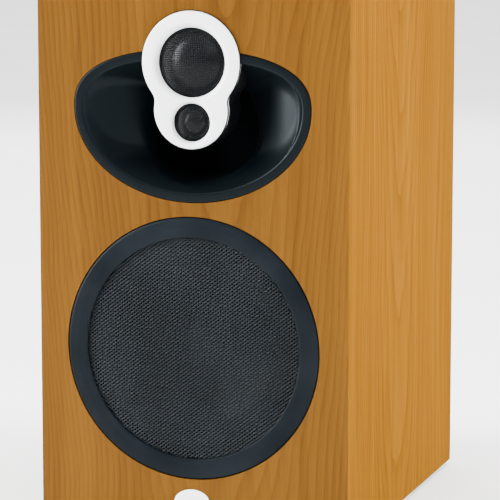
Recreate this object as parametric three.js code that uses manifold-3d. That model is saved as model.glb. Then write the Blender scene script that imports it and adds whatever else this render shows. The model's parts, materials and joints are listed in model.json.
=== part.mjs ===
// A three-way bookshelf loudspeaker with a cherry-veneered cabinet, made of separate named pieces.
// Millimetres, +Z up. The front faces -Y, and +X is to the right of someone looking at the front.
// The origin is on the surface that the feet stand on, under the middle of the whole object.
import * as THREE from "three";
import { mergeVertices } from "three/addons/utils/BufferGeometryUtils.js";
import Module from "manifold-3d";

const wasm = await Module();
wasm.setup();

// ---------- driving dimensions ----------

const GAP = 0.3; // between pieces that touch
const FIT = 0.4; // around a piece that is let into another
const CABINET = { width: 203, depth: 264, height: 365, panel: 16, baffle: 20 };
const FOOT = { height: 3, radius: 7, inset: 24 };
const GUARD_PROUD = 3.5; // how far the midrange guard stands out of the baffle
const FRONT = (GUARD_PROUD - CABINET.depth) / 2; // Y of the baffle's face
const BACK = FRONT + CABINET.depth;
const FLOOR = FOOT.height; // Z of the cabinet's underside

// Heights are above the cabinet's underside, and depths are behind the baffle's face.
const WOOFER = { height: 119.2, trim: 82.4, opening: 69.8, rebate: 82.9, rebateDepth: 8.5, hole: 74 };
const SCREWS = { count: 4, circle: 77.5 };
const BOWL = {
  height: 269, halfWidth: 77, above: 36, below: 58.1, topPower: 2.4, lip: 5.5, ledge: 2.5, thickness: 3,
};
const BOWL_SLOPE = { wall: 1.5, floor: 0.72, blend: 5 }; // of the steep wall and of the wings' floor
const THROAT = { height: 254, halfWidth: 36, halfHeight: 33, depth: 50 };
const POD = { upperHeight: 297.3, upperRadius: 31.5, lowerHeight: 267.8, lowerRadius: 23.7, fillet: 9 };
const PLATE = { front: -2, back: 3 }; // the pod faceplate's depths
const HOUSING = { inset: 1.2, wall: 1.5, back: 30, floor: 2 };
const BRACKET = { height: 312, halfHeight: 9, halfSpan: 44, leg: 10, thickness: 3 };
const BADGE = { height: 21.9, halfWidth: 11.5, halfHeight: 8, thickness: 1.2 };
const PORT = { height: 296, bore: 23, wall: 2.5, length: 110, mouth: 34, flange: 37, flareLength: 14 };
const CUP = { height: 84, halfWidth: 46, halfHeight: 33, rim: 10, wall: 3, depth: 18 };
const POST_SPACING = 36;
const BRACE = { height: 196, thickness: 10, border: 24, behindBaffle: 50 };
const BOARD = { halfWidth: 70, front: 135, back: 225, bottom: 21.3, thickness: 1.6, standOff: 5 };

// The two domes in the pod. Radii across, and depths behind the baffle's face.
const MIDRANGE = {
  name: "mid", height: 297.1, opening: 21.4, bevel: 24.2, seat: 22.3, guardRise: 5.2,
  dome: 18.4, domeBase: 6.4, domeRise: 6, motor: 23, motorFront: 7.6, motorBack: 25, segments: 24,
};
const TWEETER = {
  name: "tweeter", height: 260.3, opening: 11.8, bevel: 13.9, seat: 12.4, guardRise: 3.6,
  dome: 8.6, domeBase: 5.4, domeRise: 3.6, motor: 13, motorFront: 6.6, motorBack: 22, segments: 16,
};

const BIG_SEGMENTS = 32;
const SMALL_SEGMENTS = 16;

// ---------- finishes ----------

const finish = (color, roughness, metalness = 0) => ({ color, roughness, metalness });
const VENEER = finish(0xbd8646, 0.45);
const BLACK_PLASTIC = finish(0x15191c, 0.35);
const TRIM_PAINT = finish(0x2a3138, 0.5);
const SILVER = finish(0xe6e7e3, 0.35, 0.2);
const MESH_WIRE = finish(0x2b3034, 0.4, 0.6);
const CAST_METAL = finish(0x33373b, 0.5, 0.7);
const STEEL = finish(0xb9bdc1, 0.3, 0.9);
const FERRITE = finish(0x2a2a2c, 0.7);
const PAPER = finish(0x1a1c1f, 0.8);
const RUBBER = finish(0x111213, 0.85);
const SPIDER_CLOTH = finish(0xb08a3e, 0.9);
const SILK = finish(0x22272c, 0.6);
const COPPER = finish(0xb4673a, 0.35, 0.9);
const GOLD = finish(0xd9b35a, 0.25, 1);
const BARE_BOARD = finish(0xa98a62, 0.9);
const CIRCUIT_GREEN = finish(0x1f5a3a, 0.5);
const CAPACITOR_FILM = finish(0xc8a53a, 0.4);
const CERAMIC = finish(0xe0ddd4, 0.7);
const LEAD_SLEEVE = finish(0x2a2a2a, 0.6);
const FOAM = finish(0x3b3d40, 1);

// ---------- geometry helpers ----------

const speaker = new THREE.Group();

function add(name, geometry, look) {
  const mesh = new THREE.Mesh(geometry, new THREE.MeshStandardMaterial(look));
  mesh.name = name;
  speaker.add(mesh);
}

/** Where a depth behind the baffle's face lies along Y. */
const yAt = (depth) => FRONT + depth;

/** Where a height above the cabinet's underside lies along Z. */
const zAt = (height) => FLOOR + height;

/** A whole turn in equal steps, starting half a step in, so that no point sits on an axis. */
const turnSteps = (count) => Array.from({ length: count }, (_, i) => (2 * Math.PI * (i + 0.5)) / count);

function toSolid(geometry) {
  return new wasm.Manifold(
    new wasm.Mesh({
      numProp: 3,
      vertProperties: new Float32Array(geometry.attributes.position.array),
      triVerts: new Uint32Array(geometry.index.array),
    }),
  );
}

function toGeometry(solid) {
  const mesh = solid.getMesh();
  const geometry = new THREE.BufferGeometry();
  geometry.setAttribute("position", new THREE.BufferAttribute(mesh.vertProperties, mesh.numProp));
  geometry.setIndex(new THREE.BufferAttribute(mesh.triVerts, 1));
  return geometry;
}

/** The geometry with its shared corners merged, its empty triangles dropped and its faces pointing out. */
function closed(geometry) {
  geometry.deleteAttribute("normal");
  geometry.deleteAttribute("uv");
  const merged = mergeVertices(geometry, 1e-3);
  const triangles = [];
  for (let i = 0; i < merged.index.count; i += 3) {
    const corners = [0, 1, 2].map((k) => merged.index.getX(i + k));
    if (new Set(corners).size === 3) triangles.push(...corners);
  }
  merged.setIndex(triangles);
  if (toSolid(merged).volume() < 0) merged.setIndex(triangles.reverse());
  return merged;
}

function cut(base, ...tools) {
  return toGeometry(tools.reduce((solid, tool) => solid.subtract(toSolid(tool)), toSolid(base)));
}

function join(base, ...others) {
  return toGeometry(others.reduce((solid, other) => solid.add(toSolid(other)), toSolid(base)));
}

function fromFaces(points, triangles) {
  const geometry = new THREE.BufferGeometry();
  geometry.setAttribute("position", new THREE.Float32BufferAttribute(points.flat(), 3));
  geometry.setIndex(triangles.flat());
  return closed(geometry);
}

/** A closed solid over rings of equally many points, with a single point at each end. */
function lofted(firstPoint, rings, lastPoint) {
  const count = rings[0].length;
  const points = [firstPoint, ...rings.flat(), lastPoint];
  const at = (ring, i) => 1 + ring * count + (i % count);
  const triangles = [];
  for (let i = 0; i < count; i++) {
    triangles.push([0, at(0, i), at(0, i + 1)]);
    triangles.push([points.length - 1, at(rings.length - 1, i + 1), at(rings.length - 1, i)]);
    for (let ring = 0; ring + 1 < rings.length; ring++) {
      triangles.push([at(ring, i), at(ring + 1, i), at(ring + 1, i + 1)]);
      triangles.push([at(ring, i), at(ring + 1, i + 1), at(ring, i + 1)]);
    }
  }
  return fromFaces(points, triangles);
}

function box(low, high) {
  const geometry = new THREE.BoxGeometry(...high.map((value, i) => value - low[i]));
  geometry.translate(...high.map((value, i) => (value + low[i]) / 2));
  return closed(geometry);
}

/** A solid of revolution about the line along Y through x, z. The profile is [radius, y] points. */
function turned(profile, segments, x = 0, z = 0) {
  const onAxis = profile[0][0] === 0 && profile.at(-1)[0] === 0;
  const outline = onAxis ? profile : [...profile, profile[0]];
  const geometry = new THREE.LatheGeometry(outline.map((point) => new THREE.Vector2(...point)), segments);
  geometry.translate(x, 0, z);
  return closed(geometry);
}

/** The same about the upright line through x, y. The profile is [radius, z] points. */
function turnedUpright(profile, segments, x, y) {
  const geometry = turned(profile, segments);
  geometry.rotateX(Math.PI / 2);
  geometry.translate(x, y, 0);
  return geometry;
}

/** A round plug along Y between two depths, at a height above the cabinet's underside. */
function disc(x, height, radius, nearDepth, farDepth, segments = BIG_SEGMENTS) {
  const [near, far] = [yAt(nearDepth), yAt(farDepth)];
  const profile = [[0, near], [radius, near], [radius, far], [0, far]];
  return turned(profile, segments, x, zAt(height));
}

/** A shape drawn in X and Z, as a solid between two depths. */
function slab(shape, nearDepth, farDepth) {
  const depth = farDepth - nearDepth;
  const geometry = new THREE.ExtrudeGeometry(shape, { depth, bevelEnabled: false, curveSegments: 8 });
  geometry.rotateX(Math.PI / 2);
  geometry.translate(0, yAt(farDepth), 0);
  return closed(geometry);
}

/** A round lead along a smooth curve through points of [x, depth, height]. */
function lead(points, radius, steps) {
  const places = points.map(([x, depth, height]) => new THREE.Vector3(x, yAt(depth), zAt(height)));
  const section = new THREE.Shape().absarc(0, 0, radius, 0, 2 * Math.PI);
  const extrudePath = new THREE.CatmullRomCurve3(places);
  const options = { steps, extrudePath, curveSegments: 4, bevelEnabled: false };
  return closed(new THREE.ExtrudeGeometry(section, options));
}

// ---------- cabinet: six mitred panels, a window brace and the feet ----------

const OUTER = {
  low: [-CABINET.width / 2, FRONT, FLOOR],
  high: [CABINET.width / 2, BACK, FLOOR + CABINET.height],
};
const INNER = {
  low: [OUTER.low[0] + CABINET.panel, FRONT + CABINET.baffle, FLOOR + CABINET.panel],
  high: [OUTER.high[0] - CABINET.panel, BACK - CABINET.panel, OUTER.high[2] - CABINET.panel],
};

/** The panel on one side of the box, mitred against its neighbours. side is low or high along the axis. */
function mitredPanel(axis, side) {
  const [u, v] = [0, 1, 2].filter((i) => i !== axis);
  const loop = (shell) =>
    [["low", "low"], ["high", "low"], ["high", "high"], ["low", "high"]].map(([uSide, vSide]) => {
      const point = [0, 0, 0];
      point[axis] = shell[side][axis];
      point[u] = shell[uSide][u];
      point[v] = shell[vSide][v];
      return point;
    });
  const triangles = [[0, 1, 2], [0, 2, 3], [7, 6, 5], [7, 5, 4]];
  for (let i = 0; i < 4; i++) {
    const next = (i + 1) % 4;
    triangles.push([i + 4, next + 4, next], [i + 4, next, i]);
  }
  return fromFaces([...loop(OUTER), ...loop(INNER)], triangles);
}

/** The bowl's outline at an angle, moved in by inset. The top half is flatter than the lower half. */
function bowlEdge(angle, inset) {
  const up = Math.sin(angle) >= 0;
  const power = up ? 2 / BOWL.topPower : 1;
  const bend = (value) => Math.sign(value) * Math.abs(value) ** power;
  const reach = (up ? BOWL.above : BOWL.below) - inset;
  return [(BOWL.halfWidth - inset) * bend(Math.cos(angle)), zAt(BOWL.height) + reach * bend(Math.sin(angle))];
}

function bowlShape(inset) {
  const points = turnSteps(BIG_SEGMENTS).map((angle) => new THREE.Vector2(...bowlEdge(angle, inset)));
  return new THREE.Shape(points);
}

/** The pod's outline, moved in by inset: a large circle over a smaller one, with a fillet in each waist. */
function podShape(inset) {
  const upper = POD.upperRadius - inset;
  const lower = POD.lowerRadius - inset;
  const fillet = POD.fillet + inset;
  const apart = POD.upperHeight - POD.lowerHeight;
  // The fillet's centre is fillet away from both circles.
  const fromUpper = upper + fillet;
  const fromLower = lower + fillet;
  const drop = (fromUpper ** 2 - fromLower ** 2 + apart ** 2) / (2 * apart);
  const side = Math.sqrt(fromUpper ** 2 - drop ** 2);
  const filletZ = zAt(POD.upperHeight) - drop;
  const upperAngle = Math.atan2(-drop, side);
  const lowerAngle = Math.atan2(apart - drop, side);
  const shape = new THREE.Shape();
  shape.absarc(0, zAt(POD.upperHeight), upper, upperAngle, Math.PI - upperAngle, false);
  shape.absarc(-side, filletZ, fillet, -upperAngle, -lowerAngle, true);
  shape.absarc(0, zAt(POD.lowerHeight), lower, Math.PI - lowerAngle, 2 * Math.PI + lowerAngle, false);
  shape.absarc(side, filletZ, fillet, Math.PI + lowerAngle, Math.PI + upperAngle, true);
  return shape;
}

/** The front panel, with stepped openings for the woofer, the bowl and the pod. */
function frontBaffle() {
  const past = CABINET.baffle + 1;
  return cut(
    mitredPanel(1, "low"),
    disc(0, WOOFER.height, WOOFER.rebate, -1, WOOFER.rebateDepth),
    disc(0, WOOFER.height, WOOFER.hole, -1, past),
    slab(bowlShape(-FIT), -1, BOWL.thickness + GAP),
    slab(bowlShape(BOWL.ledge), -1, past),
    disc(0, POD.upperHeight, POD.upperRadius + FIT, -1, PLATE.back + GAP),
    disc(0, POD.upperHeight, POD.upperRadius - 0.6, -1, past),
  );
}

/** The back panel, with a round opening for the port and a square one for the terminals. */
function rearPanel() {
  const back = CABINET.depth;
  const inside = back - CABINET.panel - 1;
  const inwards = CUP.rim - CUP.wall - GAP;
  const cupBody = { x: CUP.halfWidth - inwards, z: CUP.halfHeight - inwards };
  const cupRim = { x: CUP.halfWidth + GAP, z: CUP.halfHeight + GAP };
  const square = (half, from) =>
    box([-half.x, yAt(from), zAt(CUP.height) - half.z], [half.x, yAt(back + 1), zAt(CUP.height) + half.z]);
  return cut(
    mitredPanel(1, "high"),
    disc(0, PORT.height, PORT.flange + GAP, back - PORT.wall - GAP, back + 1),
    disc(0, PORT.height, PORT.bore + PORT.wall + 7, inside, back + 1),
    square(cupRim, back - CUP.wall - GAP),
    square(cupBody, inside),
  );
}

/** A shelf with a window in it, which ties the side panels together between the drivers. */
function windowBrace() {
  const low = [INNER.low[0] + GAP, INNER.low[1] + BRACE.behindBaffle, zAt(BRACE.height)];
  const high = [INNER.high[0] - GAP, INNER.high[1] - GAP, zAt(BRACE.height + BRACE.thickness)];
  const windowLow = [low[0] + BRACE.border, low[1] + BRACE.border, low[2] - 1];
  const windowHigh = [high[0] - BRACE.border, high[1] - BRACE.border, high[2] + 1];
  return cut(box(low, high), box(windowLow, windowHigh));
}

function foot(x, y) {
  const profile = [[0, 0], [FOOT.radius - 1, 0], [FOOT.radius, FOOT.height], [0, FOOT.height]];
  return turnedUpright(profile, SMALL_SEGMENTS, x, y);
}

add("front_baffle", frontBaffle(), VENEER);
add("rear_panel", rearPanel(), VENEER);
add("left_side_panel", mitredPanel(0, "low"), VENEER);
add("right_side_panel", mitredPanel(0, "high"), VENEER);
add("bottom_panel", mitredPanel(2, "low"), VENEER);
add("top_panel", mitredPanel(2, "high"), VENEER);
add("window_brace", windowBrace(), BARE_BOARD);

for (const [row, y] of [["front", FRONT + FOOT.inset], ["rear", BACK - FOOT.inset]]) {
  for (const [column, side] of [["left", -1], ["right", 1]]) {
    add(`foot_${row}_${column}`, foot(side * (CABINET.width / 2 - FOOT.inset), y), RUBBER);
  }
}

/** The plain oval badge under the woofer. */
function badge() {
  const shape = new THREE.Shape();
  shape.absellipse(0, zAt(BADGE.height), BADGE.halfWidth, BADGE.halfHeight, 0, 2 * Math.PI);
  return slab(shape, -BADGE.thickness, 0);
}
add("badge", badge(), SILVER);

// ---------- woofer: every piece turns about one line along Y ----------

/** A turned woofer piece, from a profile of [radius, depth] points. */
function wooferPiece(profile, segments = BIG_SEGMENTS) {
  return turned(profile.map(([radius, depth]) => [radius, yAt(depth)]), segments, 0, zAt(WOOFER.height));
}

/** An arc as [radius, depth] points. Angle 0 is outwards, and 90 degrees is to the back. */
function arc(centreRadius, centreDepth, size, fromDegrees, toDegrees, steps) {
  return Array.from({ length: steps + 1 }, (_, i) => {
    const angle = THREE.MathUtils.degToRad(fromDegrees + ((toDegrees - fromDegrees) * i) / steps);
    return [centreRadius + size * Math.cos(angle), centreDepth + size * Math.sin(angle)];
  });
}

/** A thin round cap that bulges forwards by rise, from a rim at the depth base. */
function capProfile(radius, base, rise, thickness, steps = 4) {
  const layer = (r, top) =>
    Array.from({ length: steps + 1 }, (_, i) => {
      const angle = (Math.PI / 2) * (i / steps);
      return [i === 0 ? 0 : r * Math.sin(angle), base - top * Math.cos(angle)];
    });
  return [...layer(radius, rise), ...layer(radius - thickness, rise - thickness).reverse()];
}

const MESH_RADIUS = 73.1;
const trimRing = [
  [WOOFER.opening, -0.2], [76, -0.7], [81.4, -0.3], [WOOFER.trim, 0.4], [WOOFER.trim, 4.2],
  [MESH_RADIUS + GAP, 4.2], [MESH_RADIUS + GAP, 1], [WOOFER.opening, 1],
];
add("grille_trim_ring", wooferPiece(trimRing), TRIM_PAINT);
add("grille_mesh", wooferPiece([[0, 1.3], [MESH_RADIUS, 1.3], [MESH_RADIUS, 2], [0, 2]]), MESH_WIRE);
const clampRing = [[WOOFER.opening, 2.3], [MESH_RADIUS, 2.3], [MESH_RADIUS, 4.2], [WOOFER.opening, 4.2]];
add("grille_clamp_ring", wooferPiece(clampRing), CAST_METAL);

/** Where the woofer's screws are, as [x, height]. */
const SCREW_PLACES = turnSteps(SCREWS.count).map((angle) => [
  SCREWS.circle * Math.cos(angle),
  WOOFER.height + SCREWS.circle * Math.sin(angle),
]);

/** The cast frame: a flange, a ledge for the surround, six spokes and a cup that holds the magnet. */
function basket() {
  const profile = [
    [68.6, 5], [82, 5], [82, 8.2], [73.4, 8.2], [72.6, 17], [51, 48], [51, 58.6], [24, 58.6],
    [24, 55], [39.5, 55], [39.5, 46], [47.6, 46], [68.8, 17], [62, 17], [62, 14], [68.6, 14],
  ];
  const spokes = 6;
  const window = { halfWidth: 20, near: 22, far: 42.5, inner: 40, outer: 90 };
  const windows = turnSteps(spokes).map((angle) => {
    const low = [-window.halfWidth, yAt(window.near), window.inner];
    const opening = box(low, [window.halfWidth, yAt(window.far), window.outer]);
    opening.rotateY(angle);
    opening.translate(0, 0, zAt(WOOFER.height));
    return opening;
  });
  const screwHoles = SCREW_PLACES.map(([x, height]) => disc(x, height, 2.4, 3, 9, 8));
  return cut(wooferPiece(profile), ...windows, ...screwHoles);
}
add("woofer_basket", basket(), CAST_METAL);
SCREW_PLACES.forEach(([x, height], i) => {
  const profile = [[0, 4.5], [3.6, 4.5], [3.6, 4.8], [2, 4.8], [2, 8.4], [0, 8.4]];
  const inRow = profile.map(([radius, depth]) => [radius, yAt(depth)]);
  add(`woofer_screw_${i + 1}`, turned(inRow, 8, x, zAt(height)), STEEL);
});

add("woofer_top_plate", wooferPiece([[18.9, 58.9], [45, 58.9], [45, 64.9], [18.9, 64.9]], 24), STEEL);
add("woofer_magnet", wooferPiece([[24, 65.2], [47, 65.2], [47, 81.2], [24, 81.2]], 24), FERRITE);
const polePiece = [[6, 59], [15.4, 59], [15.4, 81.5], [45, 81.5], [45, 87.5], [6, 87.5]];
add("woofer_pole_piece", wooferPiece(polePiece, 24), STEEL);
add("woofer_spider", wooferPiece([[17.2, 43.2], [46.8, 43.2], [46.8, 45.7], [17.2, 45.7]]), SPIDER_CLOTH);

/** The half-roll edge between the frame's ledge and the cone. */
function surround() {
  const roll = { radius: 59, depth: 13, size: 5.4, thickness: 0.8 };
  const front = roll.depth - roll.thickness;
  return wooferPiece([
    [50.8, front],
    ...arc(roll.radius, front, roll.size, -180, 0, 4),
    [68.3, front],
    [68.3, roll.depth],
    ...arc(roll.radius, roll.depth, roll.size - roll.thickness, 0, -180, 4),
    [50.8, roll.depth],
  ]);
}
add("woofer_surround", surround(), RUBBER);
const cone = [
  [17.2, 37], [34, 26.6], [50.5, 13.3], [53.4, 13.3], [53.4, 14.3], [51, 14.9], [34.6, 28], [17.2, 38.6],
];
add("woofer_cone", wooferPiece(cone), PAPER);
add("woofer_dust_cap", wooferPiece(capProfile(19.2, 35.2, 7, 0.8), 24), PAPER);
const former = [[16.2, 36.2], [16.8, 36.2], [16.8, 70], [16.2, 70]];
add("woofer_coil_former", wooferPiece(former, 24), SILK);
add("woofer_coil_winding", wooferPiece([[17, 57], [18.1, 57], [18.1, 69], [17, 69]], 24), COPPER);

// ---------- bowl: the dished horn around the pod ----------

/** How far the bowl's surface lies behind the baffle's face at x and a row Z. */
function bowlDepth(x, z) {
  const rise = z - zAt(BOWL.height);
  const power = rise >= 0 ? BOWL.topPower : 2;
  const reach = rise >= 0 ? BOWL.above : BOWL.below;
  const share = ((Math.abs(x) / BOWL.halfWidth) ** power + (Math.abs(rise) / reach) ** power) ** (1 / power);
  const fromEdge = Math.hypot(x, rise) * (1 / Math.max(share, 0.01) - 1);
  const wall = Math.max(0, fromEdge - BOWL.lip) * BOWL_SLOPE.wall;
  const floor = Math.max(0, BOWL.halfWidth - BOWL.lip - Math.abs(x)) * BOWL_SLOPE.floor;
  const near = Math.max(BOWL_SLOPE.blend - Math.abs(wall - floor), 0) / BOWL_SLOPE.blend;
  return Math.max(0, Math.min(wall, floor) - (near ** 2 * BOWL_SLOPE.blend) / 4);
}

/** One side of the bowl's skin, from the bottom of its throat out to its rim. outwards is 0 in front. */
function bowlSkin(outwards) {
  const angles = turnSteps(BIG_SEGMENTS);
  const throat = (angle, share) => [
    (THROAT.halfWidth * share + outwards) * Math.cos(angle),
    zAt(THROAT.height) + (THROAT.halfHeight * share + outwards) * Math.sin(angle),
  ];
  const sunkPlaces = [[0.5, THROAT.depth], [0.86, THROAT.depth - 3], [0.94, THROAT.depth - 12]];
  const sunk = sunkPlaces.map(([share, depth]) =>
    angles.map((angle) => {
      const [x, z] = throat(angle, share);
      return [x, yAt(depth + outwards), z];
    }),
  );
  const dished = [0, 0.25, 0.5, 0.75].map((share) =>
    angles.map((angle) => {
      const [innerX, innerZ] = throat(angle, 1);
      const [outerX, outerZ] = bowlEdge(angle, BOWL.lip);
      const x = innerX + (outerX - innerX) * share;
      const z = innerZ + (outerZ - innerZ) * share;
      return [x, yAt(bowlDepth(x, z) + outwards), z];
    }),
  );
  const lip = [BOWL.lip, 0].map((inset) =>
    angles.map((angle) => {
      const [x, z] = bowlEdge(angle, inset);
      return [x, yAt(outwards), z];
    }),
  );
  return [...sunk, ...dished, ...lip];
}

/** The bowl and its throat as one shell, with the pod's outline cut out of it. */
function waveguide() {
  const end = (outwards) => [0, yAt(THROAT.depth + outwards), zAt(THROAT.height)];
  const rings = [...bowlSkin(0), ...bowlSkin(BOWL.thickness).reverse()];
  const shell = lofted(end(0), rings, end(BOWL.thickness));
  return cut(shell, slab(podShape(-FIT), PLATE.front - 4, HOUSING.back + FIT));
}
add("waveguide", waveguide(), BLACK_PLASTIC);

// ---------- pod: the midrange and tweeter domes in one housing ----------

/** A turned piece of one of the two drivers, from a profile of [radius, depth] points. */
function driverPiece(driver, profile) {
  const inRow = profile.map(([radius, depth]) => [radius, yAt(depth)]);
  return turned(inRow, driver.segments, 0, zAt(driver.height));
}

const GUARD = { rim: 1.7, thickness: 0.6, seat: 1.5 }; // depths of a guard's rim and of the seat it lies in

/** The faceplate, with a bevelled opening and a seat for the guard at each driver. */
function faceplate() {
  const openings = [MIDRANGE, TWEETER].map((driver) =>
    driverPiece(driver, [
      [0, PLATE.front - 1], [driver.bevel + 1, PLATE.front - 1], [driver.bevel, PLATE.front],
      [driver.opening, 0.4], [driver.opening, GUARD.seat], [driver.seat, GUARD.seat],
      [driver.seat, PLATE.back + 1], [0, PLATE.back + 1],
    ]),
  );
  return cut(slab(podShape(0), PLATE.front, PLATE.back), ...openings);
}
add("pod_faceplate", faceplate(), SILVER);

/** The cup behind the faceplate that holds both motors. */
function podHousing() {
  const front = PLATE.back + GAP;
  const outside = slab(podShape(HOUSING.inset), front, HOUSING.back);
  const inside = slab(podShape(HOUSING.inset + HOUSING.wall), front - 1, HOUSING.back - HOUSING.floor);
  return cut(outside, inside);
}
add("pod_rear_housing", podHousing(), BLACK_PLASTIC);

/** A bridge from the back of the baffle, which holds the pod in from behind. */
function podBracket() {
  const front = CABINET.baffle + GAP;
  const near = HOUSING.back + GAP;
  const far = near + BRACKET.thickness;
  const low = zAt(BRACKET.height - BRACKET.halfHeight);
  const high = zAt(BRACKET.height + BRACKET.halfHeight);
  const outer = BRACKET.halfSpan;
  const inner = outer - BRACKET.leg;
  return join(
    box([-outer, yAt(near), low], [outer, yAt(far), high]),
    box([-outer, yAt(front), low], [-inner, yAt(far), high]),
    box([inner, yAt(front), low], [outer, yAt(far), high]),
  );
}
add("pod_bracket", podBracket(), STEEL);

/** A dome driver: guard, diaphragm, its edge roll, voice coil and motor. */
function addDriver(driver) {
  const { name, opening, seat, guardRise, dome, domeBase, domeRise, motor, motorFront, motorBack } = driver;
  const rimBack = GUARD.rim + GUARD.thickness;
  const cap = capProfile(opening - GAP, GUARD.rim, guardRise, GUARD.thickness);
  const half = cap.length / 2;
  const rim = [[seat - GAP, GUARD.rim], [seat - GAP, rimBack], [opening - GAP - GUARD.thickness, rimBack]];
  const guard = [...cap.slice(0, half), ...rim, ...cap.slice(half + 1)];
  add(`${name}_guard`, driverPiece(driver, guard), MESH_WIRE);

  const skin = 0.5;
  add(`${name}_dome`, driverPiece(driver, capProfile(dome, domeBase, domeRise, skin)), SILK);

  const roll = 1.2;
  const rollFront = domeBase + 0.2;
  const edgeInner = dome - 0.9;
  const edgeOuter = motor - 1.9;
  const edge = [
    [edgeInner, rollFront], [dome + GAP, rollFront], [dome + roll, rollFront - roll],
    [edgeOuter, rollFront], [edgeOuter, rollFront + skin], [dome + roll, rollFront + skin - roll],
    [dome + GAP, rollFront + skin], [edgeInner, rollFront + skin],
  ];
  add(`${name}_surround`, driverPiece(driver, edge), SILK);

  const coilOuter = dome - 0.9;
  const coilInner = coilOuter - 0.7;
  const coilBack = motorFront + 7;
  const coilFront = domeBase + 1;
  const coil = [[coilInner, coilFront], [coilOuter, coilFront], [coilOuter, coilBack], [coilInner, coilBack]];
  add(`${name}_voice_coil`, driverPiece(driver, coil), COPPER);

  const poleFront = motorFront + 1.5;
  const gapBack = coilBack + 2;
  const rimInner = motor - 1.4;
  const magnet = [
    [0, poleFront], [coilInner - 0.5, poleFront], [coilInner - 0.5, gapBack], [coilOuter + 0.5, gapBack],
    [coilOuter + 0.5, motorFront], [rimInner, motorFront], [rimInner, PLATE.back + GAP],
    [motor, PLATE.back + GAP], [motor, motorBack], [0, motorBack],
  ];
  add(`${name}_motor`, driverPiece(driver, magnet), CAST_METAL);
}
addDriver(MIDRANGE);
addDriver(TWEETER);

// ---------- rear: reflex port and terminals ----------

/** The port: a tube with a flared mouth and a flange let into the back panel. */
function portTube() {
  const back = CABINET.depth;
  const flareStart = back - PORT.flareLength;
  const flare = (grow) =>
    Array.from({ length: 6 }, (_, i) => {
      const share = i / 5;
      const radius = PORT.bore + (PORT.mouth - PORT.bore) * (1 - Math.sqrt(1 - share ** 2));
      return [radius + grow, flareStart + PORT.flareLength * share];
    });
  const outside = flare(PORT.wall).filter(([, depth]) => depth < back - PORT.wall - 1);
  const profile = [
    [PORT.bore, back - PORT.length], ...flare(0), [PORT.flange, back], [PORT.flange, back - PORT.wall],
    [PORT.bore + PORT.wall + 6, back - PORT.wall], ...outside.reverse(),
    [PORT.bore + PORT.wall, back - PORT.length],
  ];
  return turned(profile.map(([radius, depth]) => [radius, yAt(depth)]), 24, 0, zAt(PORT.height));
}
add("port_tube", portTube(), BLACK_PLASTIC);

/** The recessed cup that carries the terminals. */
function terminalCup() {
  const back = CABINET.depth;
  const well = { x: CUP.halfWidth - CUP.rim, z: CUP.halfHeight - CUP.rim };
  const square = (x, z, near, far) =>
    box([-x, yAt(near), zAt(CUP.height) - z], [x, yAt(far), zAt(CUP.height) + z]);
  const body = join(
    square(CUP.halfWidth, CUP.halfHeight, back - CUP.wall, back),
    square(well.x + CUP.wall, well.z + CUP.wall, back - CUP.depth - CUP.wall, back - 1),
  );
  const holes = [-1, 1].map((side) =>
    disc((side * POST_SPACING) / 2, CUP.height, 3.3, back - CUP.depth - 5, back - CUP.depth + 1, 12),
  );
  return cut(body, square(well.x, well.z, back - CUP.depth, back + 1), ...holes);
}
add("terminal_cup", terminalCup(), BLACK_PLASTIC);

/** A binding post: a stud through the cup's floor, a clamping washer and a knob, placed from the back face. */
function addBindingPost(name, x, knobLook) {
  const piece = (profile) => {
    const inRow = profile.map(([radius, fromBack]) => [radius, BACK + fromBack]);
    return turned(inRow, 12, x, zAt(CUP.height));
  };
  const stud = [
    [0, -29], [3, -29], [3, -24.3], [5.5, -24.3], [5.5, -21.3], [3, -21.3], [3, -17.7], [6.2, -17.7],
    [6.2, -15.7], [3, -15.7], [3, -4], [0, -4],
  ];
  add(`${name}_post_stud`, piece(stud), GOLD);
  add(`${name}_post_washer`, piece([[3.4, -15.4], [7.2, -15.4], [7.2, -14.2], [3.4, -14.2]]), GOLD);
  const knob = [[3.4, -13.9], [7.5, -13.9], [7.5, -1.4], [6.5, -0.5], [0, -0.5], [0, -3], [3.4, -3]];
  add(`${name}_post_knob`, piece(knob), knobLook);
}
addBindingPost("negative", POST_SPACING / 2, BLACK_PLASTIC);
addBindingPost("positive", -POST_SPACING / 2, finish(0x8c1a17, 0.3));

// ---------- inside: crossover, leads and damping ----------

const BOARD_TOP = BOARD.bottom + BOARD.thickness;

/** The circuit board on four stand-offs. Heights are above the cabinet's underside. */
function crossoverBoard() {
  const low = zAt(BOARD.bottom);
  const plateHigh = [BOARD.halfWidth, yAt(BOARD.back), zAt(BOARD_TOP)];
  const plate = box([-BOARD.halfWidth, yAt(BOARD.front), low], plateHigh);
  const legs = [];
  for (const x of [-1, 1]) {
    for (const depth of [BOARD.front + 8, BOARD.back - 8]) {
      const centre = x * (BOARD.halfWidth - 8);
      const legLow = [centre - 3, yAt(depth - 3), low - BOARD.standOff];
      legs.push(box(legLow, [centre + 3, yAt(depth + 3), low + 0.5]));
    }
  }
  return join(plate, ...legs);
}

/** A wound ring that stands on the board. */
function inductor(x, depth, inner, outer, height) {
  const low = zAt(BOARD_TOP + GAP);
  const profile = [[inner, low], [outer, low], [outer, low + height], [inner, low + height]];
  return turnedUpright(profile, SMALL_SEGMENTS, x, yAt(depth));
}

/** A round capacitor that lies along X on the board. */
function capacitor(x0, x1, depth, radius) {
  const geometry = turned([[0, x0], [radius, x0], [radius, x1], [0, x1]], SMALL_SEGMENTS);
  geometry.rotateZ(-Math.PI / 2);
  geometry.translate(0, yAt(depth), zAt(BOARD_TOP + GAP) + radius);
  return geometry;
}

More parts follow.
